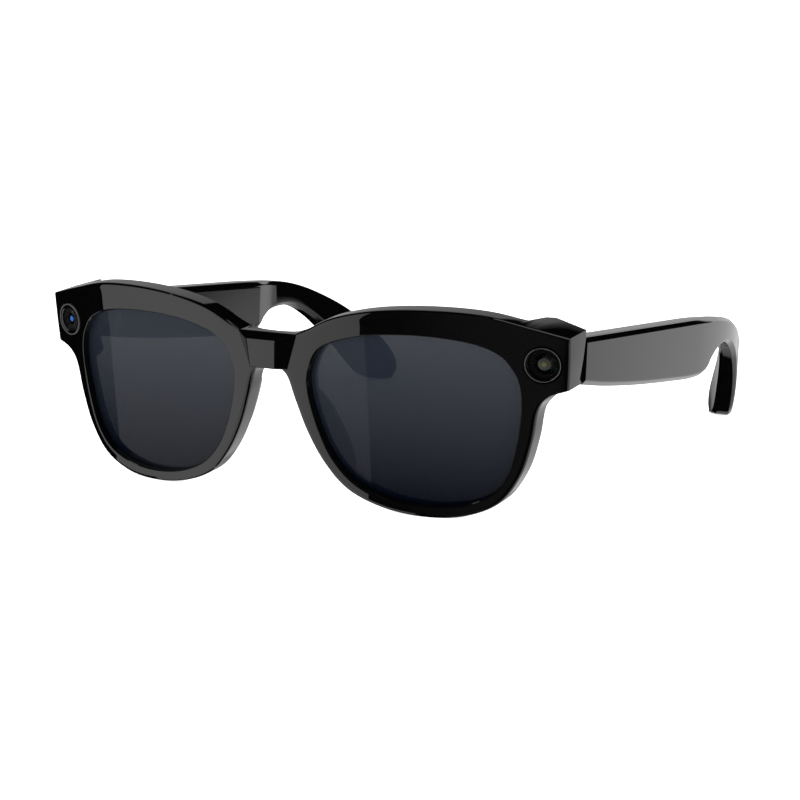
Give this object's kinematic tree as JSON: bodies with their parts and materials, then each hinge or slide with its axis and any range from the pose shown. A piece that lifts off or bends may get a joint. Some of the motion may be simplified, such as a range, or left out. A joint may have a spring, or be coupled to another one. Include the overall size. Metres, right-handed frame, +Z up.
{
  "type": "smart glasses",
  "caption": "Smart glasses with a camera in one end piece, a status light in the other, folding electronics temples, a capture button and a power slider.",
  "frame": {"origin": "centre of the bounding box in x and y, on the table that the rims and the temple tips rest on", "axes": "+X towards the wearer's left, +Y back from the front to the ears, +Z up"},
  "size_m": [0.1484, 0.1622, 0.0508],
  "materials": {
    "frame_black": "polished black",
    "inner_black": "satin black",
    "lens_tint": "dark blue-grey tint, polished",
    "clear_window": "clear, polished",
    "trim_metal": "fine turned",
    "hinge_steel": "satin",
    "contact_gold": "plated",
    "circuit_board": "solder mask",
    "flex_film": "polyimide film",
    "cell_wrap": "foil pouch",
    "optic_black": "anti-reflective black",
    "light_resin": "diffusing resin",
    "speaker_mesh": "fine mesh"
  },
  "bodies": {
    "front": {"front_shell": "frame_black", "lens_left": "lens_tint", "lens_right": "lens_tint", "nose_pad_left": "frame_black", "nose_pad_right": "frame_black", "brow_cover": "inner_black", "charging_contacts": "contact_gold", "front_flex": "flex_film", "bridge_microphone": "trim_metal", "camera_trim_ring": "trim_metal", "camera_cover_glass": "clear_window", "camera_barrel": "optic_black", "camera_sensor_board": "circuit_board", "light_trim_ring": "trim_metal", "light_window": "clear_window", "light_pipe": "light_resin", "light_board": "circuit_board", "end_cover_left": "inner_black", "end_cover_right": "inner_black", "hinge_bracket_left": "hinge_steel", "hinge_bracket_right": "hinge_steel", "bracket_screw_left": "hinge_steel", "bracket_screw_right": "hinge_steel", "hinge_pin_left": "hinge_steel", "hinge_pin_right": "hinge_steel"},
    "temple_left": {"temple_shell_left": "frame_black", "temple_cover_left": "inner_black", "core_wire_left": "hinge_steel", "speaker_left": "speaker_mesh", "speaker_grille_left": "speaker_mesh", "temple_flex_left": "flex_film", "temple_microphone_left": "trim_metal", "hinge_leaf_left": "hinge_steel", "leaf_screw_left_1": "hinge_steel", "leaf_screw_left_2": "hinge_steel", "power_switch": "trim_metal", "charge_board": "circuit_board", "battery": "cell_wrap", "antenna": "flex_film"},
    "temple_right": {"temple_shell_right": "frame_black", "temple_cover_right": "inner_black", "core_wire_right": "hinge_steel", "speaker_right": "speaker_mesh", "speaker_grille_right": "speaker_mesh", "temple_flex_right": "flex_film", "temple_microphone_right": "trim_metal", "hinge_leaf_right": "hinge_steel", "leaf_screw_right_1": "hinge_steel", "leaf_screw_right_2": "hinge_steel", "main_board": "circuit_board", "processor_shield": "trim_metal", "touch_film": "flex_film", "capture_switch": "trim_metal"},
    "capture_button": {"capture_button": "frame_black"},
    "power_slider": {"power_slider": "inner_black"}
  },
  "joints": [
    {"name": "fold_left", "type": "hinge", "parent": "front", "child": "temple_left", "pos_m": [0.0646, -0.05371, 0.0376], "axis": [0, 0.0828, 0.9966], "range_deg": [0, 89]},
    {"name": "fold_right", "type": "hinge", "parent": "front", "child": "temple_right", "pos_m": [-0.0646, -0.05371, 0.0376], "axis": [0, -0.0828, -0.9966], "range_deg": [0, 74]},
    {"name": "capture_press", "type": "slide", "parent": "temple_right", "child": "capture_button", "axis": [0, -0.0828, -0.9966], "range_m": [0, 0.0004], "stiffness_N_per_m": 400, "springref_m": -0.001},
    {"name": "power_slide", "type": "slide", "parent": "temple_left", "child": "power_slider", "axis": [0, 0.9966, -0.0828], "range_m": [0, 0.0028]}
  ]
}
